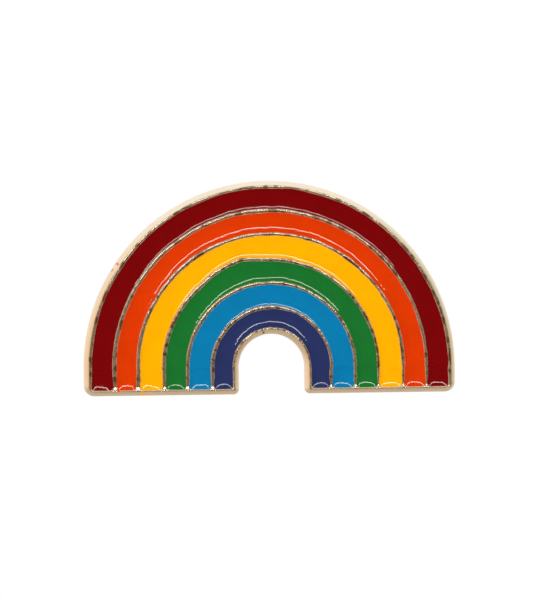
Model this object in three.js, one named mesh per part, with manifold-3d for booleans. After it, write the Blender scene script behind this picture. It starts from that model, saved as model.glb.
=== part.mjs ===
// A soft-enamel lapel pin in the shape of a rainbow, with its two butterfly clutches.
// Millimetres. +X is to the right as seen from the front, +Z is up through the crown of the arch,
// and the enamelled face looks along -Y. The origin is on the flat back of the plate, on the
// line of symmetry, halfway between the arch's outer and inner edges.
import * as THREE from "three";
import { mergeVertices } from "three/addons/utils/BufferGeometryUtils.js";
import Module from "manifold-3d";

const wasm = await Module();
wasm.setup();

// ---- Base plate, die struck in one piece ----
const OVERALL_WIDTH = 30.0; // across the legs, at the back edge
const OPENING_WIDTH = 5.3; // across the inner opening, at the back edge
const LEG_DROP = 2.2; // straight length of the legs below the centre of the arcs
const PLATE_THICKNESS = 1.5;
const EDGE_HEIGHT = 0.5; // upright part of the side walls, next to the back
const DRAFT_INSET = 0.32; // how far the side walls lean in on their way to the front
const DRAFT_STEPS = 3;
const RIM_WIDTH = 0.3; // raised rim round the outside
const FOOT_RIM_WIDTH = 0.18; // raised rim along the feet
const INNER_RIM_WIDTH = 0.22; // raised rim round the opening
const RIDGE_WIDTH = 0.32; // raised line between two colours
const POOL_DEPTH = 0.45; // from the top of the ridges down to the floor of a pool
const OUTER_CORNER = 0.85; // corner radius of a foot, on the outside
const INNER_CORNER = 0.45; // corner radius of a foot, at the opening
const POOL_CORNER = 0.2;

// ---- Enamel, one fill for each pool, from the outer band to the inner one ----
// share is the width of a band against the mean width of the six.
const BANDS = [
  { name: "red", share: 1.03, colour: 0x770007 },
  { name: "orange", share: 0.97, colour: 0xdc3902 },
  { name: "yellow", share: 1.09, colour: 0xffb500 },
  { name: "green", share: 0.98, colour: 0x15722f },
  { name: "sky_blue", share: 1.03, colour: 0x007cb7 },
  { name: "navy", share: 0.9, colour: 0x273366 },
];
const FILL_GAP = 0.02; // between a fill and the walls and floor of its pool
const FILL_RECESS = 0.1; // the cured paint lies this far below the ridges

// ---- Posts, soldered to the back ----
const POST_ANGLE = 45; // degrees from the crown, round the centre of the arcs
const POST_DIAMETER = 1.1;
const POST_LENGTH = 8.0; // from the back of the plate to the tip
const POST_TAPER = 1.3; // length of the sharpened end
const GROOVE_WIDTH = 0.5; // ring near the tip that the jaws snap into
const GROOVE_DEPTH = 0.1;
const HEAD_DIAMETER = 3.2; // the nail head that is soldered down
const HEAD_THICKNESS = 0.35;
const SOLDER_WIDTH = 0.65; // foot of the solder fillet round the head
const SOLDER_GAP = 0.01; // between the solder and the rim of the head

// ---- Butterfly clutches ----
const FABRIC_GAP = 3.0; // from the back of the plate to the clutch, where cloth is held
const CLUTCH_DIAMETER = 10.0;
const SHEET = 0.35; // sheet of the clutch's base and cap
const BASE_RIM_HEIGHT = 0.9;
const POST_HOLE_CLEARANCE = 0.25; // radial, where the post passes the base and the cap
const FUNNEL_SPREAD = 0.7; // how much wider the base's hole is where the post comes in
const FUNNEL_RISE = 0.45; // how far the sheet round the hole is pressed up to guide the post
const CAP_HEIGHT = 5.4; // from the underside of the base to the top of the cap
const CAP_WIDTH = 7.8; // across the two upright walls
const CAP_LENGTH = 4.2; // along the wings
const CAP_BEND = 1.2; // outer bend radius at the top of the walls
const CAP_FOOT = 0.2; // how far each foot turns out past its wall
const WING_STRIP = 0.3; // thickness of the sprung strip
const WING_SIDE_GAP = 0.75; // between a wing and each wall of the cap
const WING_REACH = 5.0; // from the post to the outermost point of a wing
const WING_LIFT = 1.3; // from the underside of the base to the lower jaw
const WING_TOP = 4.6; // from the underside of the base to the top of a wing
const JAW_GAP = 0.1; // between the two jaws, which lie on each other
const JAW_OVERLAP = 2.2; // how far a jaw goes past the post
const JAW_CLEARANCE = 0.03; // radial, between a closed jaw and the post
const JAW_TRAVEL = 0.6; // how far each wing is squeezed in to let the post go
const WING_RETURN = 1.4; // from the post to the free end of a wing's upper leg

// ---- Segments ----
const ARCH_STEPS = 36;
const CORNER_STEPS = 4;
const ROUND_STEPS = 32;
const LOOP_STEPS = 12;

// ---- Derived places and sizes ----
const outerRadius = OVERALL_WIDTH / 2;
const innerRadius = OPENING_WIDTH / 2;
const middleRadius = (outerRadius + innerRadius) / 2;
const poolsOuter = outerRadius - DRAFT_INSET - RIM_WIDTH;
const poolsInner = innerRadius + DRAFT_INSET + INNER_RIM_WIDTH;
const poolDrop = LEG_DROP - DRAFT_INSET - FOOT_RIM_WIDTH;
const ridges = BANDS.length - 1;
const shares = BANDS.reduce((sum, band) => sum + band.share, 0);
const shareWidth = (poolsOuter - poolsInner - ridges * RIDGE_WIDTH) / shares;
const postX = middleRadius * Math.sin(THREE.MathUtils.degToRad(POST_ANGLE));
const postZ = middleRadius * (Math.cos(THREE.MathUtils.degToRad(POST_ANGLE)) - 1);
const postRadius = POST_DIAMETER / 2;
const headRadius = HEAD_DIAMETER / 2;

// ---- Finishes ----
const gold = { color: 0xe8c79a, roughness: 0.35, metalness: 1 };
const tin = { color: 0xb9b6ae, roughness: 0.45, metalness: 1 };

function material(finish) {
  return new THREE.MeshStandardMaterial(finish);
}

function enamel(colour) {
  return material({ color: colour, roughness: 0.12, metalness: 0 });
}

// ---- Solids and geometry ----
function solid(geometry) {
  const flat = geometry.index ? geometry.toNonIndexed() : geometry;
  const bare = new THREE.BufferGeometry();
  bare.setAttribute("position", flat.getAttribute("position"));
  const merged = mergeVertices(bare, 1e-4);
  return new wasm.Manifold(
    new wasm.Mesh({
      numProp: 3,
      vertProperties: merged.getAttribute("position").array,
      triVerts: merged.index.array,
    }),
  );
}

function geometryOf(made) {
  const mesh = made.getMesh();
  const geometry = new THREE.BufferGeometry();
  geometry.setAttribute("position", new THREE.BufferAttribute(mesh.vertProperties, 3));
  geometry.setIndex(new THREE.BufferAttribute(mesh.triVerts, 1));
  geometry.computeVertexNormals();
  return geometry;
}

function piece(name, geometry, finish) {
  const mesh = new THREE.Mesh(geometry, finish);
  mesh.name = name;
  return mesh;
}

// Points on a circle, both ends included; the angles are in degrees.
function arc(x, y, radius, from, to, steps) {
  return Array.from({ length: steps + 1 }, (_, i) => {
    const angle = THREE.MathUtils.degToRad(from + ((to - from) * i) / steps);
    return new THREE.Vector2(x + radius * Math.cos(angle), y + radius * Math.sin(angle));
  });
}

// An arch: a half ring on two straight legs, with rounded corners at the feet.
function archOutline(outer, inner, drop, outerCorner, innerCorner) {
  const outerX = outer - outerCorner;
  const innerX = inner + innerCorner;
  const outerY = outerCorner - drop;
  const innerY = innerCorner - drop;
  return [
    ...arc(outerX, outerY, outerCorner, -90, 0, CORNER_STEPS),
    ...arc(0, 0, outer, 0, 180, ARCH_STEPS),
    ...arc(-outerX, outerY, outerCorner, 180, 270, CORNER_STEPS),
    ...arc(-innerX, innerY, innerCorner, 270, 360, CORNER_STEPS),
    ...arc(0, 0, inner, 180, 0, ARCH_STEPS),
    ...arc(innerX, innerY, innerCorner, 180, 270, CORNER_STEPS),
  ];
}

// Stands an outline up in the plane of the pin, with its depth running from `from` to the front.
function upright(outline, from, settings) {
  const geometry = new THREE.ExtrudeGeometry(new THREE.Shape(outline), settings);
  return geometry.rotateX(Math.PI / 2).translate(0, from, -middleRadius);
}

// A piece bent from strip: its section, drawn across and up, is as long as `length`.
function strip(section, length) {
  const settings = { depth: length, bevelEnabled: false };
  const geometry = new THREE.ExtrudeGeometry(new THREE.Shape(section), settings);
  return geometry.translate(0, 0, -length / 2);
}

// ---- Base plate ----
function bandEdges(index) {
  const before = BANDS.slice(0, index).reduce((sum, band) => sum + band.share, 0);
  const outer = poolsOuter - before * shareWidth - index * RIDGE_WIDTH;
  return { outer, inner: outer - BANDS[index].share * shareWidth };
}

function struckBlank() {
  const outline = archOutline(outerRadius, innerRadius, LEG_DROP, OUTER_CORNER, INNER_CORNER);
  const blank = upright(outline, 0, {
    depth: EDGE_HEIGHT,
    bevelThickness: PLATE_THICKNESS - EDGE_HEIGHT,
    bevelSize: DRAFT_INSET,
    bevelOffset: -DRAFT_INSET,
    bevelSegments: DRAFT_STEPS,
  });
  const behind = new THREE.BoxGeometry(2 * OVERALL_WIDTH, PLATE_THICKNESS, 2 * OVERALL_WIDTH);
  return solid(blank).subtract(solid(behind.translate(0, PLATE_THICKNESS / 2, 0)));
}

function pool(index) {
  const { outer, inner } = bandEdges(index);
  const outline = archOutline(outer, inner, poolDrop, POOL_CORNER, POOL_CORNER);
  const floor = POOL_DEPTH - PLATE_THICKNESS;
  return upright(outline, floor, { depth: 2 * POOL_DEPTH, bevelEnabled: false });
}

function basePlate() {
  const struck = BANDS.reduce((plate, _, i) => plate.subtract(solid(pool(i))), struckBlank());
  return piece("base_plate", geometryOf(struck), material(gold));
}

// ---- Enamel ----
function fill(index) {
  const { outer, inner } = bandEdges(index);
  const corner = POOL_CORNER - FILL_GAP;
  const outline = archOutline(
    outer - FILL_GAP,
    inner + FILL_GAP,
    poolDrop - FILL_GAP,
    corner,
    corner,
  );
  const floor = POOL_DEPTH - PLATE_THICKNESS - FILL_GAP;
  const depth = POOL_DEPTH - FILL_GAP - FILL_RECESS;
  const geometry = upright(outline, floor, { depth, bevelEnabled: false });
  return piece(`enamel_${BANDS[index].name}`, geometry, enamel(BANDS[index].colour));
}

// ---- Posts ----
function lathe(profile) {
  const points = profile.map(([radius, height]) => new THREE.Vector2(radius, height));
  return new THREE.LatheGeometry(points, ROUND_STEPS);
}

function post(side) {
  const shoulder = POST_LENGTH - POST_TAPER;
  const groove = shoulder - GROOVE_WIDTH;
  const waist = postRadius - GROOVE_DEPTH;
  const geometry = lathe([
    [0, 0],
    [headRadius, 0],
    [headRadius, HEAD_THICKNESS],
    [postRadius, HEAD_THICKNESS],
    [postRadius, groove - GROOVE_WIDTH],
    [waist, groove - GROOVE_WIDTH + GROOVE_DEPTH],
    [waist, groove - GROOVE_DEPTH],
    [postRadius, groove],
    [postRadius, shoulder],
    [0, POST_LENGTH],
  ]);
  return piece(`post_${side}`, geometry, material(gold));
}

function solder(side) {
  const root = headRadius + SOLDER_GAP;
  const hollow = arc(1, 1, 1, 270, 180, CORNER_STEPS).map((point) => [
    root + point.x * SOLDER_WIDTH,
    point.y * HEAD_THICKNESS,
  ]);
  const geometry = lathe([[root, 0], ...hollow, [root, 0]]);
  return piece(`solder_${side}`, geometry, material(tin));
}

// ---- Clutches, each drawn from the underside of its base, with the post along its own Y ----
const holeRadius = postRadius + POST_HOLE_CLEARANCE;

function clutchBase(name) {
  const outer = CLUTCH_DIAMETER / 2;
  const mouth = holeRadius + FUNNEL_SPREAD;
  const geometry = lathe([
    [holeRadius, FUNNEL_RISE],
    [mouth, 0],
    [outer, 0],
    [outer, BASE_RIM_HEIGHT],
    [outer - SHEET, BASE_RIM_HEIGHT],
    [outer - SHEET, SHEET],
    [mouth + SHEET, SHEET],
    [holeRadius + SHEET / 2, FUNNEL_RISE + SHEET],
    [holeRadius, FUNNEL_RISE + SHEET],
    [holeRadius, FUNNEL_RISE],
  ]);
  return piece(`${name}_base`, geometry, material(gold));
}

function clutchCap(name) {
  const wall = CAP_WIDTH / 2;
  const bendX = wall - CAP_BEND;
  const bendY = CAP_HEIGHT - CAP_BEND;
  const inside = CAP_BEND - SHEET;
  const toe = wall + CAP_FOOT;
  const section = [
    new THREE.Vector2(toe, SHEET),
    new THREE.Vector2(toe, 2 * SHEET),
    new THREE.Vector2(wall, 2 * SHEET),
    ...arc(bendX, bendY, CAP_BEND, 0, 90, CORNER_STEPS),
    ...arc(-bendX, bendY, CAP_BEND, 90, 180, CORNER_STEPS),
    new THREE.Vector2(-wall, 2 * SHEET),
    new THREE.Vector2(-toe, 2 * SHEET),
    new THREE.Vector2(-toe, SHEET),
    new THREE.Vector2(SHEET - wall, SHEET),
    ...arc(-bendX, bendY, inside, 180, 90, CORNER_STEPS),
    ...arc(bendX, bendY, inside, 90, 0, CORNER_STEPS),
    new THREE.Vector2(wall - SHEET, SHEET),
  ];
  const hole = new THREE.CylinderGeometry(holeRadius, holeRadius, CAP_BEND, ROUND_STEPS);
  const bridge = solid(strip(section, CAP_LENGTH));
  const cut = bridge.subtract(solid(hole.translate(0, CAP_HEIGHT, 0)));
  return piece(`${name}_cap`, geometryOf(cut), material(gold));
}

// A wing is a loop of strip: a jaw with a slot round the post, a bend outside, and a free leg.
function clutchWing(name, side, lift) {
  const radius = (WING_TOP - lift) / 2;
  const reach = WING_REACH - radius;
  const middle = lift + radius;
  const section = [
    new THREE.Vector2(-JAW_OVERLAP, lift),
    ...arc(reach, middle, radius, -90, 90, LOOP_STEPS),
    new THREE.Vector2(WING_RETURN, WING_TOP),
    new THREE.Vector2(WING_RETURN, WING_TOP - WING_STRIP),
    ...arc(reach, middle, radius - WING_STRIP, 90, -90, LOOP_STEPS),
    new THREE.Vector2(-JAW_OVERLAP, lift + WING_STRIP),
  ];
  const width = CAP_WIDTH - 2 * SHEET - 2 * WING_SIDE_GAP;
  const grip = postRadius + JAW_CLEARANCE;
  const slot = new THREE.Shape([
    ...arc(0, 0, grip, 90, 270, LOOP_STEPS),
    ...arc(JAW_TRAVEL, 0, grip, -90, 90, LOOP_STEPS),
  ]);
  const through = new THREE.ExtrudeGeometry(slot, { depth: 3 * WING_STRIP, bevelEnabled: false });
  through.rotateX(Math.PI / 2).translate(0, lift + 2 * WING_STRIP, 0);
  const cut = solid(strip(section, width)).subtract(solid(through));
  const wing = piece(`${name}_wing_${side}`, geometryOf(cut), material(gold));
  wing.rotation.y = side === "upper" ? -Math.PI / 2 : Math.PI / 2;
  return wing;
}

function clutch(side) {
  const name = `clutch_${side}`;
  const group = new THREE.Group();
  group.add(clutchBase(name));
  group.add(clutchCap(name));
  group.add(clutchWing(name, "upper", WING_LIFT));
  group.add(clutchWing(name, "lower", WING_LIFT + WING_STRIP + JAW_GAP));
  group.position.y = FABRIC_GAP;
  return group;
}

// ---- The pin ----
const pin = new THREE.Group();
pin.add(basePlate());
BANDS.forEach((_, index) => pin.add(fill(index)));
for (const side of ["left", "right"]) {
  const fastening = new THREE.Group();
  fastening.add(post(side));
  fastening.add(solder(side));
  fastening.add(clutch(side));
  fastening.position.set(side === "left" ? -postX : postX, 0, postZ);
  pin.add(fastening);
}

export default pin;
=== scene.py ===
"""The looks of a rainbow-shaped soft-enamel pin with two butterfly clutches, on its CAD frame.

Metres in Blender; the sizes named below are in millimetres and pass through mm().
The enamelled face looks along -Y, +Z is up through the crown of the arch.
"""

import math

import bmesh
import bpy
import numpy as np
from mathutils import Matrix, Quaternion, Vector

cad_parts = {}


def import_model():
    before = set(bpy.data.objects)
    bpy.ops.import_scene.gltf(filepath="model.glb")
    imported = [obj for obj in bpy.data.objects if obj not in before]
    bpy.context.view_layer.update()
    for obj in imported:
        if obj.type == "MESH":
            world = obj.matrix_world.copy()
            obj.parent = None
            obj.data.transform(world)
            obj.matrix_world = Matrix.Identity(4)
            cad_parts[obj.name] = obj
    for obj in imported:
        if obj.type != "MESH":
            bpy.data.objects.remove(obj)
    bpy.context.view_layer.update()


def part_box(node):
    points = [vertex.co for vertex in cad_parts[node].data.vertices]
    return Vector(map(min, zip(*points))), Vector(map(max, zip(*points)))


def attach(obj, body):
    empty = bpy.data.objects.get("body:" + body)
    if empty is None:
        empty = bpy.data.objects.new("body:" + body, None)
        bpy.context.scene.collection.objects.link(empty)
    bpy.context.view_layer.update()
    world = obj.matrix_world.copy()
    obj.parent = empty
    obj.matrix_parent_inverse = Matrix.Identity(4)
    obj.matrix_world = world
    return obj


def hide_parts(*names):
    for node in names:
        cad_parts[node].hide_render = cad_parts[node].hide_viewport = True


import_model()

MM = 0.001

# ---- Sizes shared with the CAD model, in millimetres ----
EDGE_HEIGHT = 0.5  # upright part of the plate's side walls
DRAFT_INSET = 0.32  # how far the walls lean in towards the front
FOOT_RIM_WIDTH = 0.18
INNER_RIM_WIDTH = 0.22
RIDGE_WIDTH = 0.32
POOL_DEPTH = 0.45
FILL_GAP = 0.02
OPENING_RADIUS = 2.65
OUTER_CORNER = 0.85
INNER_CORNER = 0.45
POOL_CORNER = 0.2
POST_RADIUS = 0.55
POST_TAPER = 1.3
HEAD_RADIUS = 1.6
HEAD_THICKNESS = 0.35
GROOVE_WIDTH = 0.5
GROOVE_DEPTH = 0.1
SOLDER_GAP = 0.01
SHEET = 0.35  # sheet of the clutch's base and cap
POST_HOLE_CLEARANCE = 0.25
FUNNEL_SPREAD = 0.7  # how much wider the base's hole is where the post comes in
FUNNEL_RISE = 0.45
CAP_BEND = 1.2
CAP_FOOT = 0.2  # how far each foot of the cap turns out past its wall
WING_STRIP = 0.3
WING_RETURN = 1.4  # from the post to the free end of a wing's upper leg
JAW_CLEARANCE = 0.03
JAW_TRAVEL = 0.6

# ---- Relief of the struck metal, in millimetres ----
SHOULDER = 0.1  # how far a ridge falls from its crest to the edge of the paint
RIDGE_SHOULDER = 0.115  # width of that fall on a ridge
RIM_SHOULDER = 0.14  # and on the rims
FOOT_SHOULDER = 0.13  # and on the foot rim
ROUND_CREST = 1.5  # how rounded the crests are; 1 is a flat chamfer
FOOT_CREST = 1.2
CREST_EDGE = 0.16  # width over which a rim's crest turns over to the outer wall
FOOT_CREST_EDGE = 0.06
RIM_MARGIN = 0.1  # how far the edges of the outermost and innermost pool may wander
FOOT_BLEND = 0.6  # height over which the foot's crest edge gives way to the rim's
WALL_LEAN = 0.55  # share of the wall's lean that is straight; the rest turns over to the front
RIDGE_END_BELOW = 0.05  # the ridges start this far below the bottoms of the pools
RIDGE_END_STEP = 0.05  # they step down from the foot rim, and sink a little more
RIDGE_END_SLOPE = 0.06
RIDGE_END_DIP = 0.05
RIDGE_END_REACH = 0.22  # the dip's slope, from the rim's crest to its lowest point
RIDGE_END_FADE = 0.8
POOL_WALL_SLOPE = 4.0
WOBBLE = 0.035  # wander of a ridge's edges, over millimetres
RAGGED = 0.01  # and over tenths of a millimetre
PITTING = 0.009  # depth of the dents along the ridges
DENT_RADIUS = 9.0  # radius along which the dents are measured
BACK_EDGE = 0.05  # worn edge between the side walls and the back
RIDGE_UNEVEN = 0.02  # the ridges are struck wider on the left than on the right
KINK_RISE = 0.3  # one ridge, between yellow and green, has a kink left of the crown
KINK_ANGLE = 105.0
ARC_DRIFT = 0.16  # the inner arcs are struck this far to the right of the outer one
# Steps in from an outer edge, close together where the wall turns over to the front.
EDGE_STEPS = [0, 0.004, 0.015, 0.035, 0.065, 0.1, 0.14, 0.18]
EDGE_STEPS += [0.22, 0.26, 0.3, 0.34, 0.38, 0.44, 0.5]
# Steps up from the bottom of the pools: close where the foot rim falls to the paint.
FOOT_STEPS = [-0.12, -0.09, -0.06, -0.03, 0, 0.02, 0.05, 0.09, 0.14, 0.22, 0.3]

# ---- Posts and clutches: what the CAD model leaves out, in millimetres ----
GROOVE_TO_TAPER = 0.5
TIP_RADIUS = 0.11  # the worn point of a post
TIP_LENGTH = 0.15
POST_ROUNDING = 0.07
SOLDER_CURVE = 2.2  # how hollow the solder's slope is; 1 is straight
SOLDER_WAVER = 0.18  # how far the solder's edge strays inwards
RING_INNER, RING_OUTER = 2.55, 3.55  # a ring pressed into the cup to stiffen it
RING_SLOPE = 0.2
RING_RISE = 0.09
RING_WIDER = 0.05  # on the upper side
CUP_ROUNDING = 0.17
TOE_SHORT = 0.02  # the strip of a bridge ends this far short of its foot
TOE_BEND = 0.12
WALL_START = 0.4  # height at which a bridge's wall is straight
CUT_PAST = 0.2  # how far a cut goes on past a wing's strip, and
CAP_CUT_PAST = 1.0  # past the top of a bridge, each way
FLARE = 0.28  # a wing gets this much wider on each side
FLARE_START, FLARE_LENGTH = 2.9, 1.6
STRIP_EDGE = 0.07  # rounding of the edges of bent strip
STRIP_EDGE_STEPS = 3
HOLE_EDGE = 0.03  # bevel round the holes
FILLET_STEPS = 4

# ---- Paint: how it is dished between the ridges, in millimetres ----
# edge: depth of the steep meniscus at a ridge; reach: its width.
PAINTS = {
    "red": dict(edge=0.068, reach=0.2, colour="#770007"),
    "orange": dict(edge=0.18, reach=0.38, colour="#DD3A02"),
    "yellow": dict(edge=0.096, reach=0.25, colour="#FFB500"),
    "green": dict(edge=0.13, reach=0.3, colour="#15742F"),
    "sky_blue": dict(edge=0.054, reach=0.2, colour="#007DB9"),
    "navy": dict(edge=0.253, reach=0.45, colour="#273368"),
}
DISH = 0.02
PAINT_EDGE = 0.1  # depth of the paint's edge below the crests
FOOT_REACH = 0.55  # width of the meniscus along the bottom of a leg
FOOT_DEPTH = 0.235  # depth that the hollow heads for at the bottom of a leg
FOOT_FADE = 2.0
FOOT_SIDE_REACH = 0.17  # the meniscus up the sides is narrow near the foot
FOOT_VARIETY = 0.15  # the feet differ in depth, and each leans a little to one side
FOOT_LEAN = 0.3
HALF_BAND = 0.75  # half of a usual band's width
MOST_RISE = 0.02  # the paint climbs no further than this above its edge
RIPPLE = 0.006
FINE_RIPPLE = 0.0045
TUCK = 0.04  # how far the paint goes on under the edge of the metal
# Steps in from a ridge, and up from a foot, close together where the paint is steep.
PAINT_STEPS = [0, 0.02, 0.05, 0.09, 0.13, 0.18, 0.24, 0.31, 0.4, 0.5, 0.62, 0.76, 0.92, 1.1]

# ---- Stray paint on the metal: colour, place (x, z) and radius in millimetres ----
SMEARS = [
    ("orange", (-12.25, -10.6), 0.11),
    ("orange", (11.8, -10.85), 0.14),
    ("orange", (-12.2, -0.4), 0.12),
    ("orange", (-12.6, -0.9), 0.1),
    ("yellow", (-10.35, -10.9), 0.26),
    ("red", (-0.5, -6.05), 0.1),
    ("red", (-3.6, -10.9), 0.1),
]
WICKING = 0.06  # the paint creeps this far up a ridge

ARC_STEPS = 400
LEG_STEP = 0.13  # between stations on a leg, above its foot
SEED = 11


def mm(value):
    """Millimetres in metres."""
    return value * MM


def box_mm(node):
    """The low and high corners of a CAD node, in millimetres."""
    return tuple(np.array(corner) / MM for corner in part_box(node))


# ---- Where the pin is, from the frame ----
plate_low, plate_high = box_mm("base_plate")
OUTER_RADIUS = (plate_high[0] - plate_low[0]) / 2
THICKNESS = plate_high[1] - plate_low[1]
ARC_Z = plate_high[2] - OUTER_RADIUS  # height of the arcs' common centre
LEG_DROP = ARC_Z - plate_low[2]
POOL_DROP = LEG_DROP - DRAFT_INSET - FOOT_RIM_WIDTH
NAMES = list(PAINTS)


def band_edges():
    """(outer, inner) radius of each pool, from the red one in."""
    outer = [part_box(f"enamel_{n}")[1].z / MM - ARC_Z + FILL_GAP for n in NAMES]
    inner = [radius + RIDGE_WIDTH for radius in outer[1:]]
    return list(zip(outer, inner + [OPENING_RADIUS + DRAFT_INSET + INNER_RIM_WIDTH]))


BANDS = band_edges()


# ---- Smooth noise ----
class Noise:
    """Smooth value noise in one or two dimensions, from a fixed seed."""

    def __init__(self, seed):
        self.values = np.random.default_rng(seed).uniform(-1, 1, (256, 256))

    def at(self, x, y=0.0):
        """The noise at points; its features are about 1 wide."""
        x, y = np.broadcast_arrays(np.asarray(x, float), np.asarray(y, float))
        ix, iy = np.floor(x).astype(int), np.floor(y).astype(int)
        fx, fy = x - ix, y - iy
        fx, fy = fx * fx * (3 - 2 * fx), fy * fy * (3 - 2 * fy)

        def value(across, up):
            return self.values[(ix + across) % 256, (iy + up) % 256]

        low = value(0, 0) * (1 - fx) + value(1, 0) * fx
        high = value(0, 1) * (1 - fx) + value(1, 1) * fx
        return low * (1 - fy) + high * fy


noise = Noise(SEED)


def wander(edge, path):
    """How far the edge numbered `edge` strays from its true radius, along its own path."""
    row = 17.3 * edge
    slow = noise.at(path / 1.7, row) + 0.6 * noise.at(path / 0.7 + 40, row)
    return WOBBLE * slow + RAGGED * noise.at(path / 0.16, row + 5)


# ---- The plan of the arch: stations along it, and lines across it ----
def leg_heights(near_foot):
    """Heights of the stations on a leg, from its foot up to the arc, below the arcs' centre."""
    steps = int((LEG_DROP - near_foot[-1]) / LEG_STEP)
    rest = np.linspace(near_foot[-1], LEG_DROP, steps + 1)[1:-1]
    return -LEG_DROP + np.array(list(near_foot) + list(rest))


def stations(near_foot, arc_steps):
    """(angle, drop) of each station, from the left foot over the crown to the right foot."""
    heights = leg_heights(near_foot)
    angles = np.linspace(math.pi, 0, arc_steps + 1)
    angle = np.concatenate([np.full(len(heights), math.pi), angles, np.zeros(len(heights))])
    drop = np.concatenate([heights, np.zeros(len(angles)), heights[::-1]])
    return angle, drop


def path_length(angle, drop, radius):
    """Distance along an edge of that radius; it goes on down the legs."""
    left = angle > math.pi / 2
    round_arc = np.where(drop == 0, (math.pi - angle) * radius, 0)
    return np.where(left, drop, math.pi * radius - drop) + round_arc


def square_to_round(side, foot, radius):
    """Moves points near a square corner so that the corner becomes round.

    side and foot are distances in from the two straight edges that meet at the corner.
    """
    a, b = 1 - side / radius, 1 - foot / radius
    inside = (a >= 0) & (b >= 0) & (a <= 1) & (b <= 1)
    a2 = np.where(inside, a * np.sqrt(np.clip(1 - b * b / 2, 0, None)), a)
    b2 = np.where(inside, b * np.sqrt(np.clip(1 - a * a / 2, 0, None)), b)
    return radius * (1 - a2), radius * (1 - b2)


def round_min(a, b, radius):
    """The smaller of two edge distances, round the corner where both are small."""
    near = (a < radius) & (b < radius)
    corner = radius - np.hypot(radius - a, radius - b)
    return np.where(near, corner, np.minimum(a, b))


def kink(angle):
    """A bump in one ridge: sharp on the right, slow on the left."""
    width = np.where(angle > math.radians(KINK_ANGLE), 25, 12)
    away = (np.degrees(angle) - KINK_ANGLE) / width
    return KINK_RISE * np.clip(1 - np.abs(away), 0, 1)


def edge_radius(band, side, angle, drop):
    """The wandering outer (side 0) or inner (side 1) edge of a band, at each station."""
    radius = BANDS[band][side]
    edge = radius + wander(2 * band + side, path_length(angle, drop, radius))
    if 0 < 2 * band + side < 2 * len(BANDS) - 1:
        edge = edge + RIDGE_UNEVEN * np.cos(angle) * (1 - 2 * side)
    if (NAMES[band], side) in (("yellow", 1), ("green", 0)):
        edge = edge + kink(angle)
    return edge


def on_plan(radius, angle, drop):
    """x, z of points at a radius; on the legs they go straight down."""
    drift = ARC_DRIFT * (OUTER_RADIUS - radius) / (OUTER_RADIUS - OPENING_RADIUS)
    return radius * np.cos(angle) + drift, ARC_Z + radius * np.sin(angle) * (drop == 0) + drop


# ---- Meshes ----
def mesh_object(name, points, faces, sharp_degrees=40):
    """A smooth-shaded mesh from points in millimetres."""
    mesh = bpy.data.meshes.new(name)
    mesh.from_pydata([tuple(p) for p in np.asarray(points) * MM], [], faces)
    mesh.validate()
    work = bmesh.new()
    work.from_mesh(mesh)
    bmesh.ops.recalc_face_normals(work, faces=work.faces)
    work.to_mesh(mesh)
    work.free()
    mesh.shade_smooth()
    mesh.set_sharp_from_angle(angle=math.radians(sharp_degrees))
    made = bpy.data.objects.new(name, mesh)
    bpy.context.scene.collection.objects.link(made)
    return made


def grid_faces(rows, columns):
    """The four-sided faces of a grid of points."""
    index = np.arange(rows * columns).reshape(rows, columns)
    quads = np.stack([index[:-1, :-1], index[:-1, 1:], index[1:, 1:], index[1:, :-1]], -1)
    return quads.reshape(-1, 4).tolist()


def border(rows, columns):
    """Indices round the border of a grid, once round."""
    index = np.arange(rows * columns).reshape(rows, columns)
    return np.concatenate(
        [index[0, :-1], index[:-1, -1], index[-1, :0:-1], index[:0:-1, 0]]
    )


def close_below(points, faces, rows, columns, rings):
    """Closes a grid sheet: rings of border points below it, then a floor of strips across."""
    edge = border(rows, columns)
    count = len(edge)
    previous = edge
    for ring in rings:
        start = sum(len(p) for p in points)
        points.append(ring)
        now = np.arange(start, start + count)
        for i in range(count):
            j = (i + 1) % count
            faces.append([int(previous[i]), int(previous[j]), int(now[j]), int(now[i])])
        previous = now
    foot = columns - 1
    side = rows - 1
    outer = [int(previous[foot + i]) for i in range(side + 1)]
    inner = [int(previous[-i % count]) for i in range(side + 1)]
    first = [int(previous[i]) for i in range(foot + 1)]
    last = [int(previous[foot + side + i]) for i in range(foot + 1)]
    faces.append(first + [outer[1], inner[1]])
    for i in range(1, side - 1):
        faces.append([inner[i], outer[i], outer[i + 1], inner[i + 1]])
    faces.append([inner[side - 1], outer[side - 1]] + last)


# ---- Base plate ----
def plate_lines(angle, drop):
    """Radius of every line along the plate, at each station, from the opening out."""
    into_pool = [0.02, 0.05, 0.09, 0.14, 0.3]
    on_ridge = [0.03, 0.06, 0.095, 0.13]
    opening_steps = [step for step in EDGE_STEPS if step < 0.42]
    lines = [np.full(len(angle), OPENING_RADIUS + step) for step in opening_steps]
    for band in reversed(range(len(BANDS))):
        inner = edge_radius(band, 1, angle, drop)
        outer = edge_radius(band, 0, angle, drop)
        if band == len(BANDS) - 1:
            lines += [inner - step for step in (0.12, 0.09, 0.06, 0.03)]
        lines += [inner] + [inner + step for step in into_pool]
        lines += [outer - step for step in reversed(into_pool)] + [outer]
        if band:
            above = edge_radius(band - 1, 1, angle, drop)
            lines += [outer + step for step in on_ridge]
            lines += [(outer + above) / 2]
            lines += [above - step for step in reversed(on_ridge)]
        else:
            lines += [outer + step for step in (0.03, 0.06, 0.09)]
    lines += [np.full(len(angle), OUTER_RADIUS - step) for step in reversed(EDGE_STEPS)]
    return np.sort(np.stack(lines, axis=1), axis=1)


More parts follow.
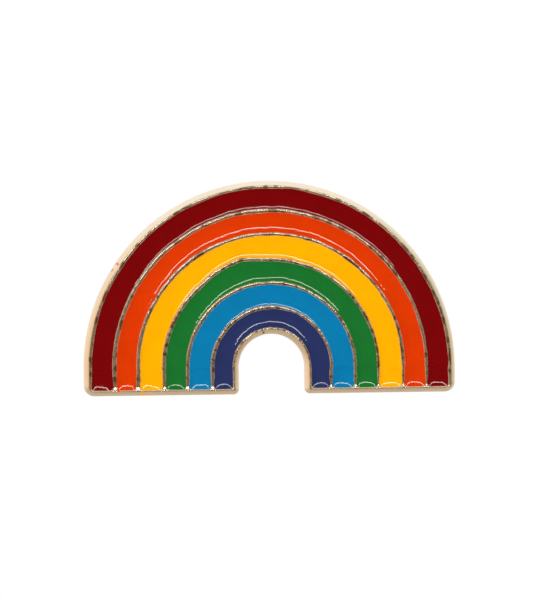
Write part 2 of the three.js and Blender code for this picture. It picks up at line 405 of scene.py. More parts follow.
def round_plate_corners(radius, drop, angle, bands):
    """Rounds the feet of the plate and of its pools, on the legs."""
    on_leg = np.broadcast_to((drop < 0)[:, None], radius.shape)
    height = np.broadcast_to(drop[:, None], radius.shape).copy()
    radius = radius.copy()
    corners = [
        (OUTER_RADIUS, -1, -LEG_DROP, OUTER_CORNER),
        (OPENING_RADIUS, 1, -LEG_DROP, INNER_CORNER),
    ]
    for band in bands:
        corners.append((edge_radius(band, 0, angle, drop)[:, None], -1, -POOL_DROP, POOL_CORNER))
        corners.append((edge_radius(band, 1, angle, drop)[:, None], 1, -POOL_DROP, POOL_CORNER))
    for edge, inwards, foot, corner in corners:
        side, up = square_to_round(inwards * (radius - edge), height - foot, corner)
        radius = np.where(on_leg, edge + inwards * side, radius)
        height = np.where(on_leg, foot + up, height)
    return radius, height


def inside_pool(radius, height, angle, drop):
    """How far each point is inside a pool; negative outside, where it is the way to the nearest."""
    pool = np.full(radius.shape, -OUTER_RADIUS)
    for band in range(len(BANDS)):
        outer = edge_radius(band, 0, angle, drop)[:, None] - radius
        inner = radius - edge_radius(band, 1, angle, drop)[:, None]
        both = np.minimum(outer, inner)
        pool = np.maximum(pool, round_min(both, height + POOL_DROP, POOL_CORNER))
    return pool


def ridge_end_dip(height):
    """How far a ridge lies below the foot rim that it runs into."""
    end = height + POOL_DROP + RIDGE_END_BELOW
    dip = RIDGE_END_STEP * np.clip(end / RIDGE_END_SLOPE, 0, 1)
    dip += RIDGE_END_DIP * np.clip((end - RIDGE_END_SLOPE) / RIDGE_END_REACH, 0, 1)
    return dip * np.exp(-np.clip(end - RIDGE_END_REACH, 0, None) / RIDGE_END_FADE)


def wall_fall(edge, height):
    """How far the front falls away at the leaning side walls."""
    lean = np.clip(1 - edge / DRAFT_INSET, 0, 1)
    turned = WALL_LEAN * lean + (1 - WALL_LEAN) * (1 - np.sqrt(1 - lean**2))
    crest_slope = WALL_LEAN * (THICKNESS - EDGE_HEIGHT) / DRAFT_INSET
    above = np.clip((height + POOL_DROP) / FOOT_BLEND, 0, 1)
    crest_edge = FOOT_CREST_EDGE + (CREST_EDGE - FOOT_CREST_EDGE) * above
    crest_drop = crest_slope * crest_edge / 2
    turn = np.clip(1 - (edge - DRAFT_INSET) / crest_edge, 0, 1)
    return (THICKNESS - EDGE_HEIGHT - crest_drop) * turned + crest_drop * turn**2


def plate_relief(radius, height, angle, drop):
    """Depth below the crests, distance in from the outline, and distance into a pool."""
    above_foot = height + LEG_DROP
    edge = np.minimum(
        round_min(OUTER_RADIUS - radius, above_foot, OUTER_CORNER),
        round_min(radius - OPENING_RADIUS, above_foot, INNER_CORNER),
    )
    pool = inside_pool(radius, height, angle, drop)
    on_rim = (radius > BANDS[0][0] - RIM_MARGIN) | (radius < BANDS[-1][1] + RIM_MARGIN)
    reach = np.where(on_rim, RIM_SHOULDER, RIDGE_SHOULDER)
    reach = np.where(height < -POOL_DROP, FOOT_SHOULDER, reach)
    roundness = np.where(height < -POOL_DROP, FOOT_CREST, ROUND_CREST)
    shoulder = SHOULDER * np.clip(1 + pool / reach, 0, 1) ** roundness
    shoulder += ridge_end_dip(height) * ~on_rim * (drop < 0)[:, None]
    wall = SHOULDER + POOL_WALL_SLOPE * np.clip(pool, 0, None)
    metal = np.where(pool > 0, np.minimum(wall, POOL_DEPTH), shoulder)
    return metal + wall_fall(edge, height), edge, pool


def back_rings(sheet, rows, columns):
    """The plate's outline three times over: down its walls, and in over the worn edge."""
    rim = sheet[border(rows, columns)]
    next_row = np.clip(np.arange(rows), 1, rows - 2)
    next_column = np.clip(np.arange(columns), 1, columns - 2)
    inner = sheet.reshape(rows, columns, 3)[next_row][:, next_column]
    inwards = (inner.reshape(-1, 3)[border(rows, columns)] - rim)[:, [0, 2]]
    inwards /= np.linalg.norm(inwards, axis=1, keepdims=True)
    up = rim[:, 2] - ARC_Z + LEG_DROP
    rings = []
    for inset, level in ((0, -BACK_EDGE), (BACK_EDGE * 0.3, -BACK_EDGE * 0.3), (BACK_EDGE, 0)):
        ring = rim.copy()
        ring[:, [0, 2]] += inwards * inset
        raised = rim[:, 2] + inset * (1 - up / OUTER_CORNER)
        ring[:, 2] = np.where(up < OUTER_CORNER, raised, ring[:, 2])
        ring[:, 1] = level
        rings.append(ring)
    return rings


def base_plate():
    """The struck plate: a relief on its front, side walls, and a flat back."""
    bottom = LEG_DROP - POOL_DROP
    near_foot = [step for step in EDGE_STEPS if step < bottom - FOOT_SHOULDER]
    near_foot += [bottom + step for step in FOOT_STEPS]
    angle, drop = stations(near_foot, ARC_STEPS)
    lines = plate_lines(angle, drop)
    rows, columns = lines.shape
    radius, height = round_plate_corners(lines, drop, angle, range(len(BANDS)))
    depth, edge, pool = plate_relief(radius, height, angle, drop)
    x, z = on_plan(radius, angle[:, None], drop[:, None])
    z = np.where((drop < 0)[:, None], ARC_Z + height, z)
    along = path_length(angle[:, None], drop[:, None], np.full_like(radius, DENT_RADIUS))
    dents = noise.at(along / 0.6, radius / 0.2)
    dents += 0.5 * noise.at(along / 0.25, radius / 0.15 + 30)
    struck = np.clip(edge / DRAFT_INSET - 0.7, 0, 1) * (pool < 0.02)
    depth = depth + PITTING * dents * struck
    y = depth - THICKNESS
    sheet = np.stack([x, y, z], -1).reshape(-1, 3)
    points, faces = [sheet], grid_faces(rows, columns)
    close_below(points, faces, rows, columns, back_rings(sheet, rows, columns))
    made = mesh_object("plate_struck", np.concatenate(points), faces)
    stray_paint(made, x, z, radius, pool)
    painted_crest_shade(made, along, radius, height, edge, pool)
    return made


def mark_points(made, name, kind, key, values, width=1):
    """Gives the points of the relief an attribute; it is zero on the points behind them."""
    full = np.zeros((len(made.data.vertices), width), np.float32)
    full[: values.size // width] = values.reshape(-1, width)
    made.data.attributes.new(name, kind, "POINT").data.foreach_set(key, full.reshape(-1))


def stray_paint(made, x, z, radius, pool):
    """Colours the metal where paint has crept up a ridge, or has dropped on it."""
    colour = np.zeros((*x.shape, 4), np.float32)
    for band, (outer, inner) in enumerate(BANDS):
        near = (radius < outer + RIDGE_WIDTH / 2) & (radius > inner - RIDGE_WIDTH / 2)
        colour[near, :3] = linear(PAINTS[NAMES[band]]["colour"])[:3]
    patchy = np.clip(0.5 + 0.5 * noise.at(x / 0.3 + 9, z / 0.3), 0, 1)
    colour[..., 3] = 0.7 * patchy * np.clip(1 + pool / WICKING, 0, 1) * (pool < 0.02)
    for name, (at_x, at_z), size in SMEARS:
        away = np.hypot(x - at_x, z - at_z) / size + 0.3 * noise.at(x / 0.12, z / 0.12)
        cover = np.clip((1 - away) * 4, 0, 1)
        colour[cover > 0, :3] = linear(PAINTS[name]["colour"])[:3]
        colour[..., 3] = np.maximum(colour[..., 3], cover)
    mark_points(made, "stray_paint", "FLOAT_COLOR", "color", colour, 4)


def painted_crest_shade(made, along, radius, height, edge, pool):
    """Marks painted shade: dark dashes along the crests, and some dark all along them, standing in
    for the dark front that their flat tops reflect.
    """
    dashes = noise.at(along / 0.4 + 80, radius / 0.5)
    dashes += 0.7 * noise.at(along / 0.17, radius / 0.2 + 90)
    crest = np.clip((edge / DRAFT_INSET - 1.1) * 8, 0, 1) * np.clip(-pool / 0.04, 0, 1)
    crest *= np.clip((height + POOL_DROP - 0.45) / 0.3, 0, 1)
    # painted shade: a crest is never less than a tenth dark, and darker in dashes
    dark = np.clip(dashes * 2.2 - 0.35, 0.1, 0.9) * crest
    mark_points(made, "painted_crest_shade", "FLOAT", "value", dark)


# ---- Enamel ----
def paint_depth(band, angle, radius, foot, inner, outer):
    """Depth of the paint below the crests: hollow between the ridges, and more so at a foot."""
    paint = PAINTS[NAMES[band]]
    side = np.minimum(radius - inner, outer - radius)
    off_middle = (radius - inner) / ((outer - inner) / 2) - 1
    near = np.exp(-(np.clip(foot, 0, None) ** 2))
    reach = paint["reach"] + (FOOT_SIDE_REACH - paint["reach"]) * near
    hollow = paint["edge"] * (1 - np.exp(-side / reach))
    hollow += DISH * (1 - off_middle**2)
    usual = paint["edge"] * (1 - math.exp(-HALF_BAND / paint["reach"])) + DISH
    leg = 7.7 * band + np.where(angle > 1, 0, 50)  # a row of the noise for each foot
    each_foot = 1 + FOOT_VARIETY * noise.at(leg, 3.3)[:, None]
    each_foot = each_foot + FOOT_LEAN * noise.at(leg, 8.1)[:, None] * off_middle
    near = np.exp(-((np.clip(foot, 0, None) / FOOT_FADE) ** 2))
    hollow *= 1 + (FOOT_DEPTH / usual * each_foot - 1) * near
    hollow *= 1 - np.exp(-foot / FOOT_REACH)
    return PAINT_EDGE + np.maximum(hollow, -MOST_RISE), side


def ripples(band, x, z, side):
    """Unevenness of the paint's surface, which dies out at the ridges."""
    ripple = RIPPLE * noise.at(x / 1.1 + 20 * band, z / 1.1)
    ripple += FINE_RIPPLE * noise.at(x / 0.4 + 20 * band, z / 0.4 + 50)
    return ripple * np.clip(side / 0.2, 0, 1)


def enamel(band):
    """The paint of one pool: dished, with a steep meniscus at the ridges and at the feet."""
    bottom = LEG_DROP - POOL_DROP
    near_foot = [bottom - TUCK] + [bottom + step for step in PAINT_STEPS]
    angle, drop = stations(near_foot, ARC_STEPS)
    outer = edge_radius(band, 0, angle, drop)
    inner = edge_radius(band, 1, angle, drop)
    across = [-TUCK] + [step for step in PAINT_STEPS if step < 0.62]
    lines = [inner + step for step in across] + [inner + (outer - inner) / 2]
    lines += [outer - step for step in reversed(across)]
    lines = np.stack(lines, axis=1)
    rows, columns = lines.shape
    radius, height = round_plate_corners(lines, drop, angle, [band])
    on_leg = (drop < 0)[:, None]
    x, z = on_plan(radius, angle[:, None], drop[:, None])
    z = np.where(on_leg, ARC_Z + height, z)
    foot = np.where(on_leg, height + POOL_DROP, POOL_DROP + 2)
    depth, side = paint_depth(band, angle, radius, foot, inner[:, None], outer[:, None])
    depth = depth + ripples(band, x, z, side)
    depth += np.where(side < 0, -side, 0)
    sheet = np.stack([x, depth - THICKNESS, z], -1).reshape(-1, 3)
    points, faces = [sheet], grid_faces(rows, columns)
    ring = sheet[border(rows, columns)].copy()
    ring[:, 1] = POOL_DEPTH - FILL_GAP - THICKNESS
    close_below(points, faces, rows, columns, [ring])
    return mesh_object(f"paint_{NAMES[band]}", np.concatenate(points), faces)


# ---- Pieces turned on the post's axis, and bent strip ----
def fillet(points, radius, steps=FILLET_STEPS):
    """Rounds each corner of a closed outline that isn't on the axis."""
    made = []
    count = len(points)
    for i, here in enumerate(points):
        here = np.array(here, float)
        before = np.array(points[i - 1], float) - here
        after = np.array(points[(i + 1) % count], float) - here
        length = min(np.linalg.norm(before), np.linalg.norm(after))
        reach = min(radius, 0.45 * length)
        if here[0] < 1e-9 or reach < 1e-6:
            made.append(here)
            continue
        start = here + before / np.linalg.norm(before) * reach
        end = here + after / np.linalg.norm(after) * reach
        for t in np.linspace(0, 1, steps + 1):
            made.append(start * (1 - t) ** 2 + 2 * here * t * (1 - t) + end * t * t)
    return made


def revolve(name, profile, centre, closed=True, steps=96, stray=None):
    """Turns an outline of (radius, height) round the post's axis, which is along Y."""
    angles = np.linspace(0, 2 * math.pi, steps, endpoint=False)
    points, rings = [], []
    for radius, height in profile:
        if radius < 1e-9:
            rings.append([len(points)])
            points.append((centre[0], centre[1] + height, centre[2]))
            continue
        rings.append(list(range(len(points), len(points) + steps)))
        for angle in angles:
            r = radius + (stray(radius, height, angle) if stray else 0)
            x, z = centre[0] + r * math.cos(angle), centre[2] + r * math.sin(angle)
            points.append((x, centre[1] + height, z))
    faces = []
    following = rings[1:] + rings[:1] if closed else rings[1:]
    for low, high in zip(rings, following):
        for i in range(steps):
            j = (i + 1) % steps
            lower = [low[i % len(low)], low[j % len(low)]]
            upper = [high[j % len(high)], high[i % len(high)]]
            face = list(dict.fromkeys(lower + upper))
            if len(face) > 2:
                faces.append(face)
    return mesh_object(name, points, faces, 50)


def sweep(name, line, halves, thickness, across, up, centre, edge=STRIP_EDGE):
    """A strip with rounded edges along a line.

    line holds points (across, up) of its middle; halves its half widths along the third axis.
    """
    line = np.array(line, float)
    tangent = np.gradient(line, axis=0)
    tangent /= np.linalg.norm(tangent, axis=1, keepdims=True)
    normal = np.stack([-tangent[:, 1], tangent[:, 0]], -1)
    wide = np.cross(across, up)
    start, end = line[0].copy(), line[-1].copy()
    line[0] += tangent[0] * edge
    line[-1] -= tangent[-1] * edge
    thin = thickness / 2
    sections = [(start, normal[0], halves[0] - edge, thin - edge)]
    sections += [(point, side, half, thin) for point, side, half in zip(line, normal, halves)]
    sections += [(end, normal[-1], halves[-1] - edge, thin - edge)]
    corners = [(1, 1), (-1, 1), (-1, -1), (1, -1)]
    points, ring_size = [], len(corners) * (STRIP_EDGE_STEPS + 1)
    for point, side, half, flat in sections:
        for quarter, (sign_a, sign_b) in enumerate(corners):
            for step in range(STRIP_EDGE_STEPS + 1):
                angle = math.pi / 2 * (quarter + step / STRIP_EDGE_STEPS)
                a = math.cos(angle) * edge + sign_a * (flat - edge)
                b = math.sin(angle) * edge + sign_b * (half - edge)
                place = point + side * a
                points.append(centre + place[0] * across + place[1] * up + b * wide)
    faces = [list(range(ring_size))]
    for ring in range(len(sections) - 1):
        for i in range(ring_size):
            j = (i + 1) % ring_size
            low, high = ring * ring_size, (ring + 1) * ring_size
            faces.append([low + i, low + j, high + j, high + i])
    last = (len(sections) - 1) * ring_size
    faces.append(list(range(last, last + ring_size)))
    return mesh_object(name, points, faces, 50)


def cut_hole(made, outline, centre, low, high):
    """Cuts a hole along Y with an outline of (x, z) points, and takes off its sharp edge."""
    count = len(outline)
    points = [(centre[0] + x, y, centre[2] + z) for y in (low, high) for x, z in outline]
    faces = [list(range(count)), list(range(2 * count - 1, count - 1, -1))]
    faces += [[i, (i + 1) % count, count + (i + 1) % count, count + i] for i in range(count)]
    cutter = mesh_object("cutter", points, faces)
    cut = made.modifiers.new("hole", "BOOLEAN")
    cut.operation, cut.object, cut.solver = "DIFFERENCE", cutter, "EXACT"
    soft = made.modifiers.new("edge", "BEVEL")
    soft.width, soft.segments, soft.limit_method = mm(HOLE_EDGE), 2, "ANGLE"
    soft.angle_limit = math.radians(50)
    bake_modifiers(made)
    bpy.data.objects.remove(cutter)
    made.data.shade_smooth()
    made.data.set_sharp_from_angle(angle=math.radians(40))
    return made


def bake_modifiers(made):
    """Turns an object's modifiers into its mesh."""
    ready = made.evaluated_get(bpy.context.evaluated_depsgraph_get())
    mesh = bpy.data.meshes.new_from_object(ready)
    made.modifiers.clear()
    made.data = mesh


X, Y, Z = (np.array(axis, float) for axis in ((1, 0, 0), (0, 1, 0), (0, 0, 1)))


def circle(radius, steps=48):
    """Points round a circle about the origin."""
    angles = np.linspace(0, 2 * math.pi, steps, endpoint=False)
    return [(radius * math.cos(a), radius * math.sin(a)) for a in angles]


def bend(x, y, radius, start, end, steps):
    """Points along an arc between two angles in degrees."""
    angles = np.radians(np.linspace(start, end, steps + 1))
    return [(x + radius * math.cos(a), y + radius * math.sin(a)) for a in angles]


def straight(start, end, steps):
    """Points along a straight line."""
    return [tuple(p) for p in np.linspace(start, end, steps + 1)]


def measure(node):
    """The middle of a CAD node, at the height of its underside, and its low and high corners."""
    low, high = box_mm(node)
    return np.array([(low[0] + high[0]) / 2, low[1], (low[2] + high[2]) / 2]), low, high


def post(side):
    """A nail post: its head on the back of the plate, a groove, and a worn point."""
    centre, low, high = measure(f"post_{side}")
    length = high[1]
    shoulder = length - POST_TAPER
    groove = shoulder - GROOVE_TO_TAPER
    neck = POST_RADIUS - GROOVE_DEPTH
    body = [
        (HEAD_RADIUS, 0),
        (HEAD_RADIUS, HEAD_THICKNESS),
        (POST_RADIUS, HEAD_THICKNESS),
        (POST_RADIUS, groove - GROOVE_WIDTH),
        (neck, groove - GROOVE_WIDTH + GROOVE_DEPTH),
        (neck, groove - GROOVE_DEPTH),
        (POST_RADIUS, groove),
        (POST_RADIUS, shoulder),
        (TIP_RADIUS - 0.01, length - TIP_LENGTH - 0.01),  # only gives the taper its slope
    ]
    ends = FILLET_STEPS + 1  # the points of the first and last corner are left out
    profile = [(0, 0)] + [tuple(p) for p in fillet(body, POST_ROUNDING)][ends:-ends]
    profile += bend(0, length - TIP_LENGTH, TIP_RADIUS, 20, 90, 5)
    profile[-1] = (0, length)
    return revolve(f"nail_post_{side}", profile, centre, closed=False, steps=64)


def solder(side):
    """The ring of solder round a post's head, with an uneven edge."""
    centre, low, high = measure(f"solder_{side}")
    foot = (high[0] - low[0]) / 2
    root = HEAD_RADIUS + SOLDER_GAP
    rise = high[1] - low[1]
    outline = [(root, 0.0), (foot, 0.0)]
    for t in np.linspace(0.08, 1, 12):
        outline.append((foot - (foot - root) * t, rise * t**SOLDER_CURVE))
    seed = 300 if side == "left" else 500

    def stray(radius, height, angle):
        share = (radius - root) / (foot - root)
        lump = noise.at(seed + 2.2 * math.cos(angle), 2.2 * math.sin(angle))
        return -SOLDER_WAVER * share * (0.5 + 0.5 * float(lump))

    return revolve(f"solder_joint_{side}", outline, centre, stray=stray)


def clutch_base(side):
    """A stamped cup: a rim, a pressed ring, and a funnel that guides the post."""
    centre, low, high = measure(f"clutch_{side}_base")
    outer, rim = (high[0] - low[0]) / 2, high[1] - low[1]
    hole = POST_RADIUS + POST_HOLE_CLEARANCE
    mouth = hole + FUNNEL_SPREAD
    outline = [
        (hole, FUNNEL_RISE),
        (mouth, 0),
        (RING_INNER, 0),
        (RING_INNER + RING_SLOPE, RING_RISE),
        (RING_OUTER - RING_SLOPE, RING_RISE),
        (RING_OUTER, 0),
        (outer, 0),
        (outer, rim),
        (outer - SHEET, rim),
        (outer - SHEET, SHEET),
        (RING_OUTER + RING_WIDER, SHEET),
        (RING_OUTER - RING_SLOPE + RING_WIDER, SHEET + RING_RISE),
        (RING_INNER + RING_SLOPE - RING_WIDER, SHEET + RING_RISE),
        (RING_INNER - RING_WIDER, SHEET),
        (mouth + SHEET, SHEET),
        (hole + SHEET / 2, FUNNEL_RISE + SHEET),
        (hole, FUNNEL_RISE + SHEET),
    ]
    profile = [tuple(p) for p in fillet(outline, CUP_ROUNDING)]
    return revolve(f"clutch_cup_{side}", profile, centre, steps=128)


def clutch_cap(side):
    """A bridge of bent sheet over the cup, with a hole for the post."""
    centre, low, high = measure(f"clutch_{side}_cap")
    toe = (high[0] - low[0]) / 2
    middle = toe - CAP_FOOT - SHEET / 2
    level = SHEET / 2
    top = high[1] - low[1] - SHEET / 2
    turn = CAP_BEND - SHEET / 2
    right = straight((toe - TOE_SHORT, level), (middle + TOE_BEND, level), 2)
    right += bend(middle + TOE_BEND, level + TOE_BEND, TOE_BEND, 270, 180, 4)[1:]
    right += straight((middle, WALL_START), (middle, top - turn), 6)
    right += bend(middle - turn, top - turn, turn, 0, 90, 10)[1:]
    left = [(-x, y) for x, y in reversed(right)]
    line = right + straight(right[-1], left[0], 10)[1:-1] + left
    half = (high[2] - low[2]) / 2
    made = sweep(f"clutch_bridge_{side}", line, [half] * len(line), SHEET, X, Y, centre)
    hole = circle(POST_RADIUS + POST_HOLE_CLEARANCE)
    return cut_hole(made, hole, centre, high[1] - CAP_CUT_PAST, high[1] + CAP_CUT_PAST)


def clutch_wing(side, which):
    """A sprung loop of strip: a jaw with half of the post's slot, a round bend, and a grip."""
    low, high = box_mm(f"clutch_{side}_wing_{which}")
    centre = measure(f"clutch_{side}_base")[0] * (1, 0, 1)
    upper = which == "upper"
    ahead, behind = high[2] - centre[2], centre[2] - low[2]
    reach, overlap = (ahead, behind) if upper else (behind, ahead)
    level, top = low[1] + WING_STRIP / 2, high[1] - WING_STRIP / 2
    radius = (top - level) / 2
    middle = reach - WING_STRIP / 2 - radius
    line = straight((-overlap, level), (middle, level), 16)
    line += bend(middle, level + radius, radius, -90, 90, 20)[1:]
    line += straight((middle, top), (WING_RETURN, top), 8)[1:]
    half = (high[0] - low[0]) / 2
    wider = [max(0, min(1, (x - FLARE_START) / FLARE_LENGTH)) for x, _ in line]
    halves = [half + FLARE * share**2 for share in wider]
    outwards = Z if upper else -Z
    made = sweep(f"clutch_wing_{side}_{which}", line, halves, WING_STRIP, outwards, Y, centre)
    grip = POST_RADIUS + JAW_CLEARANCE
    slot = bend(0, 0, grip, 180, 360, 16) + bend(0, JAW_TRAVEL, grip, 0, 180, 16)
    if not upper:
        slot = [(x, -z) for x, z in reversed(slot)]
    return cut_hole(made, slot, centre, low[1] - CUT_PAST, low[1] + WING_STRIP + CUT_PAST)


# ---- Materials ----
def linear(code):
    """A colour code in linear light, with alpha 1."""
    parts = [int(code[i : i + 2], 16) / 255 for i in (1, 3, 5)]
    bright = [c / 12.92 if c <= 0.04045 else ((c + 0.055) / 1.055) ** 2.4 for c in parts]
    return (*bright, 1)


def set_stops(ramp, stops):
    """Gives a colour ramp its (position, colour) stops."""
    while len(ramp.elements) < len(stops):
        ramp.elements.new(0.5)
    for element, (position, colour) in zip(ramp.elements, stops):
        element.position = position
        element.color = (*colour, 1)


class Shader:
    """A material made of named nodes, with the few steps that the finishes share."""

    def __init__(self, name):
        self.material = bpy.data.materials.new(name)
        self.material.use_nodes = True
        self.tree = self.material.node_tree
        self.nodes, self.links = self.tree.nodes, self.tree.links
        self.surface = self.nodes["Principled BSDF"]
        self.place = self.add("ShaderNodeTexCoord").outputs["Object"]

    def add(self, kind, **settings):
        """A new node of that kind."""
        node = self.nodes.new(kind)
        for key, value in settings.items():
            setattr(node, key, value)
        return node

    def set(self, **values):
        """Sets inputs of the surface; a space in a name is written _."""
        for key, value in values.items():
            self.surface.inputs[key.replace("_", " ")].default_value = value

    def noise(self, size_mm, detail=3.0, stretch=None):
        """Noise with features of about that size."""
        node = self.add("ShaderNodeTexNoise")
        node.inputs["Scale"].default_value = 1 / mm(size_mm)
        node.inputs["Detail"].default_value = detail
        where = self.place
        if stretch:
            moved = self.add("ShaderNodeMapping")
            moved.inputs["Scale"].default_value = stretch
            self.links.new(where, moved.inputs["Vector"])
            where = moved.outputs["Vector"]
        self.links.new(where, node.inputs["Vector"])
        return node.outputs["Fac"]

    def ramp(self, value, stops):
        """A colour for each level of a value."""
        node = self.add("ShaderNodeValToRGB")
        set_stops(node.color_ramp, stops)
        self.links.new(value, node.inputs["Fac"])
        return node.outputs["Color"]

    def span(self, value, low, high, start=0.3, end=0.7):
        """Maps start..end of a value to low..high."""
        node = self.add("ShaderNodeMapRange")
        ends = {"From Min": start, "From Max": end, "To Min": low, "To Max": high}
        for key, number in ends.items():
            node.inputs[key].default_value = number
        self.links.new(value, node.inputs["Value"])
        return node.outputs["Result"]

    def mix(self, factor, a, b):
        """Mixes two colours."""
        node = self.add("ShaderNodeMix", data_type="RGBA")
        for socket, value in zip((0, 6, 7), (factor, a, b)):
            if isinstance(value, bpy.types.NodeSocket):
                self.links.new(value, node.inputs[socket])
            else:
                node.inputs[socket].default_value = value
        return node.outputs[2]

    def attribute(self, name, output):
        """An output of one of the mesh's attributes."""
        return self.add("ShaderNodeAttribute", attribute_name=name).outputs[output]

    def put(self, value, socket):
        """Links a value to the surface."""
        self.links.new(value, self.surface.inputs[socket])

    def bump(self, height, depth_mm, strength=1.0):
        """Adds a bump on top of those already there."""
        node = self.add("ShaderNodeBump")
        node.inputs["Distance"].default_value = mm(depth_mm)
        node.inputs["Strength"].default_value = strength
        self.links.new(height, node.inputs["Height"])
        last = self.surface.inputs["Normal"]
        if last.is_linked:
            self.links.new(last.links[0].from_socket, node.inputs["Normal"])
        self.links.new(node.outputs["Normal"], last)


def plated_metal():
    """Pale gold plating: worn, with painted shade in dark dashes along the crests, and stray paint.
    """
    shader = Shader("plated_metal")
    blush = shader.ramp(
        shader.noise(5.0, 2.0),
        [(0.35, (0.92, 0.83, 0.68)), (0.65, (0.93, 0.78, 0.62))],
    )
    worn = shader.mix(shader.span(shader.noise(0.3), 0, 0.5), blush, (0.95, 0.9, 0.8, 1))
    # painted shade: the crests are mixed towards dark brown for the dark front they reflect; from
    # here worn holds wear and painted shade
    worn = shader.mix(shader.attribute("painted_crest_shade", "Fac"), worn, (0.3, 0.18, 0.09, 1))
    cover = shader.attribute("stray_paint", "Alpha")
    paint = shader.attribute("stray_paint", "Color")
    shader.put(shader.mix(cover, worn, paint), "Base Color")
    shader.put(shader.span(cover, 0.93, 0, 0, 1), "Metallic")
    shader.put(shader.span(shader.noise(0.3, 4.0), 0.16, 0.3), "Roughness")
    shader.bump(shader.noise(0.2, 3.0), 0.004, 0.4)
    return shader.material


def stamped_metal():
    """Brass sheet with the fine lines of rolling."""
    shader = Shader("clutch_metal")
    shader.set(Metallic=1.0)
    patches = shader.span(shader.noise(2.5), 0, 1)
    colour = shader.mix(patches, (0.93, 0.72, 0.42, 1), (0.87, 0.64, 0.36, 1))
    shader.put(colour, "Base Color")
    rolled = shader.noise(0.25, 3.0, (0.08, 1, 1))
    shader.put(shader.span(rolled, 0.18, 0.36), "Roughness")
    shader.bump(rolled, 0.004, 0.4)
    shader.bump(shader.noise(0.6, 2.0), 0.01, 0.2)
    return shader.material


def soft_solder():
    """Dull, lumpy tin."""
    shader = Shader("solder")
    shader.set(Metallic=1.0)
    patches = shader.span(shader.noise(0.5), 0, 1)
    colour = shader.mix(patches, (0.55, 0.53, 0.49, 1), (0.36, 0.33, 0.29, 1))
    shader.put(colour, "Base Color")
    shader.put(shader.span(shader.noise(0.2, 4.0), 0.3, 0.55), "Roughness")
    shader.bump(shader.noise(0.25, 4.0), 0.03, 0.5)
    return shader.material


def gloss_paint(name):
    """Glossy baked paint, a little uneven in colour."""
    shader = Shader(f"enamel_{name}")
    colour = linear(PAINTS[name]["colour"])
    darker = tuple(c * 0.95 for c in colour[:3]) + (1,)
    lighter = tuple(min(1, c * 1.03) for c in colour[:3]) + (1,)
    patches = shader.span(shader.noise(1.8, 2.0), 0, 1)
    shader.put(shader.mix(patches, darker, lighter), "Base Color")
    shader.put(shader.span(shader.noise(0.9, 3.0), 0.04, 0.08), "Roughness")
    shader.set(IOR=1.46)
    shader.bump(shader.noise(0.5, 2.0), 0.002, 0.4)
    return shader.material


def finish_piece(made, material, body, slot, *nodes):
    """Gives a mesh its material, and says what it rides on and replaces."""
    made.data.materials.clear()
    made.data.materials.append(material)
    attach(made, body)
    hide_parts(*nodes)


def build_pin():
    """Makes all the pieces of the pin."""
    metal, brass, tin = plated_metal(), stamped_metal(), soft_solder()
    finish_piece(base_plate(), metal, "pin", "plated_metal", "base_plate")
    for band, name in enumerate(NAMES):
        finish_piece(enamel(band), gloss_paint(name), "pin", f"enamel_{name}", f"enamel_{name}")
    for side in ("left", "right"):
        finish_piece(post(side), brass, "pin", "plated_metal", f"post_{side}")
        finish_piece(solder(side), tin, "pin", "solder", f"solder_{side}")
        clutch = f"clutch_{side}"
        finish_piece(clutch_base(side), brass, clutch, "clutch_metal", f"{clutch}_base")
        finish_piece(clutch_cap(side), brass, clutch, "clutch_metal", f"{clutch}_cap")
        for which in ("upper", "lower"):
            wing = clutch_wing(side, which)
            body, node = f"wing_{side}_{which}", f"{clutch}_wing_{which}"
            finish_piece(wing, brass, body, "clutch_metal", node)


# ---- Studio ----
LENS, SENSOR = 250.0, 36.0
FRAME_HEIGHT_MM = 48.23  # height of what the camera sees, at the pin
CAMERA_AZIMUTH, CAMERA_ROLL = -3.5, -0.72  # degrees
AIM_X, AIM_Z = -0.2, -3.36  # millimetres
FLOOR_LEVEL, FLOOR_RADIUS = -85.0, 700  # millimetres


def area_light(name, place, size, radiance, colour, reflected=True):
    """A soft light of that radiance, aimed at the pin and not seen by the camera."""
    data = bpy.data.lights.new(name, "AREA")
    data.shape, data.size, data.size_y = "RECTANGLE", size[0], size[1]
    data.energy = radiance * math.pi * size[0] * size[1]
    data.color = colour
    made = bpy.data.objects.new(name, data)
    made.location = place
    made.rotation_euler = Vector(place).to_track_quat("Z", "Y").to_euler()
    made.visible_camera = False
    made.visible_glossy = reflected
    bpy.context.scene.collection.objects.link(made)


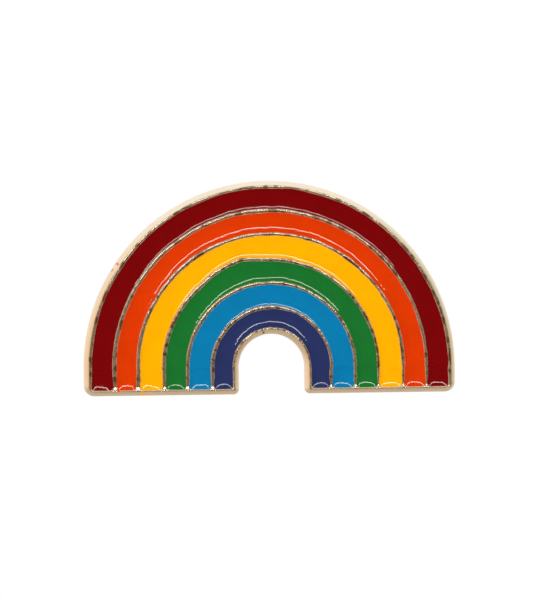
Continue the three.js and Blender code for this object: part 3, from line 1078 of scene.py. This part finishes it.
def world():
    """White behind and above, darker in front and below; the backdrop is plain white."""
    made = bpy.data.worlds.new("studio")
    bpy.context.scene.world = made
    made.use_nodes = True
    tree = made.node_tree
    nodes, links = tree.nodes, tree.links
    where = nodes.new("ShaderNodeTexCoord")
    split = nodes.new("ShaderNodeSeparateXYZ")
    links.new(where.outputs["Generated"], split.inputs[0])

    def curve(value, stops):
        scale = nodes.new("ShaderNodeMapRange")
        scale.inputs["From Min"].default_value = -1
        links.new(value, scale.inputs["Value"])
        ramp = nodes.new("ShaderNodeValToRGB")
        set_stops(ramp.color_ramp, stops)
        links.new(scale.outputs[0], ramp.inputs["Fac"])
        return ramp.outputs["Color"]

    ahead = curve(
        split.outputs["Y"],
        [
            (0.0, (0.12, 0.08, 0.045)),
            (0.24, (0.15, 0.11, 0.07)),
            (0.36, (0.68, 0.64, 0.57)),
            (0.5, (0.92, 0.9, 0.85)),
            (0.75, (1, 1, 1)),
        ],
    )
    rise = curve(
        split.outputs["Z"],
        [
            (0.0, (0.5, 0.4, 0.3)),
            (0.3, (0.62, 0.54, 0.45)),
            (0.5, (0.95, 0.87, 0.78)),
            (0.9, (1, 1, 1)),
        ],
    )
    aside = curve(
        split.outputs["X"],
        [
            (0.0, (1, 0.7, 0.46)),
            (0.12, (1, 0.88, 0.76)),
            (0.3, (1, 0.98, 0.93)),
            (0.7, (1, 0.98, 0.92)),
            (0.88, (0.74, 0.7, 0.6)),
            (1.0, (0.42, 0.38, 0.31)),
        ],
    )
    product = ahead
    for factor in (rise, aside):
        both = nodes.new("ShaderNodeMix")
        both.data_type, both.blend_type = "RGBA", "MULTIPLY"
        both.inputs[0].default_value = 1
        links.new(product, both.inputs[6])
        links.new(factor, both.inputs[7])
        product = both.outputs[2]
    studio, backdrop = nodes.new("ShaderNodeBackground"), nodes["Background"]
    links.new(product, studio.inputs["Color"])
    studio.inputs["Strength"].default_value = 1.0
    backdrop.inputs["Color"].default_value = (1, 1, 1, 1)
    path, mixed = nodes.new("ShaderNodeLightPath"), nodes.new("ShaderNodeMixShader")
    links.new(path.outputs["Is Camera Ray"], mixed.inputs["Fac"])
    links.new(studio.outputs[0], mixed.inputs[1])
    links.new(backdrop.outputs[0], mixed.inputs[2])
    links.new(mixed.outputs[0], nodes["World Output"].inputs["Surface"])


def floor():
    """A plain pale floor, well below the pin, which hangs in front of the white backdrop."""
    points = [(x, y, FLOOR_LEVEL) for x, y in circle(FLOOR_RADIUS, 96)]
    made = mesh_object("floor", points, [list(range(len(points)))])
    shader = Shader("floor")
    colour = shader.mix(shader.noise(30), (0.9, 0.9, 0.9, 1), (0.86, 0.86, 0.86, 1))
    shader.put(colour, "Base Color")
    shader.set(Roughness=0.8)
    made.data.materials.append(shader.material)
    made.visible_glossy = False


def camera():
    """Square on to the face, a little from the left, at the scale and place of a catalogue shot."""
    distance = mm(FRAME_HEIGHT_MM) * LENS / SENSOR
    data = bpy.data.cameras.new("camera")
    data.lens, data.sensor_width = LENS, SENSOR
    data.clip_start, data.clip_end = 0.01, 3
    made = bpy.data.objects.new("camera", data)
    azimuth, roll = math.radians(CAMERA_AZIMUTH), math.radians(CAMERA_ROLL)
    aim = Vector((mm(AIM_X), mm(-THICKNESS / 2), mm(AIM_Z)))
    back = Vector((math.sin(azimuth), -math.cos(azimuth), 0))
    turn = (-back).to_track_quat("-Z", "Y") @ Quaternion((0, 0, 1), roll)
    made.location = aim + back * distance
    made.rotation_euler = turn.to_euler()
    bpy.context.scene.collection.objects.link(made)
    bpy.context.scene.camera = made


def studio():
    """The surroundings, lights and camera."""
    world()
    floor()
    area_light("strip", (0, -0.45, 0.2), (0.6, 0.034), 15, (1, 0.96, 0.86))
    area_light("fill", (-0.15, -0.55, 0.3), (0.5, 0.4), 2.45, (1, 1, 1), reflected=False)
    bpy.context.scene.view_settings.view_transform = "Standard"
    camera()


build_pin()
studio()
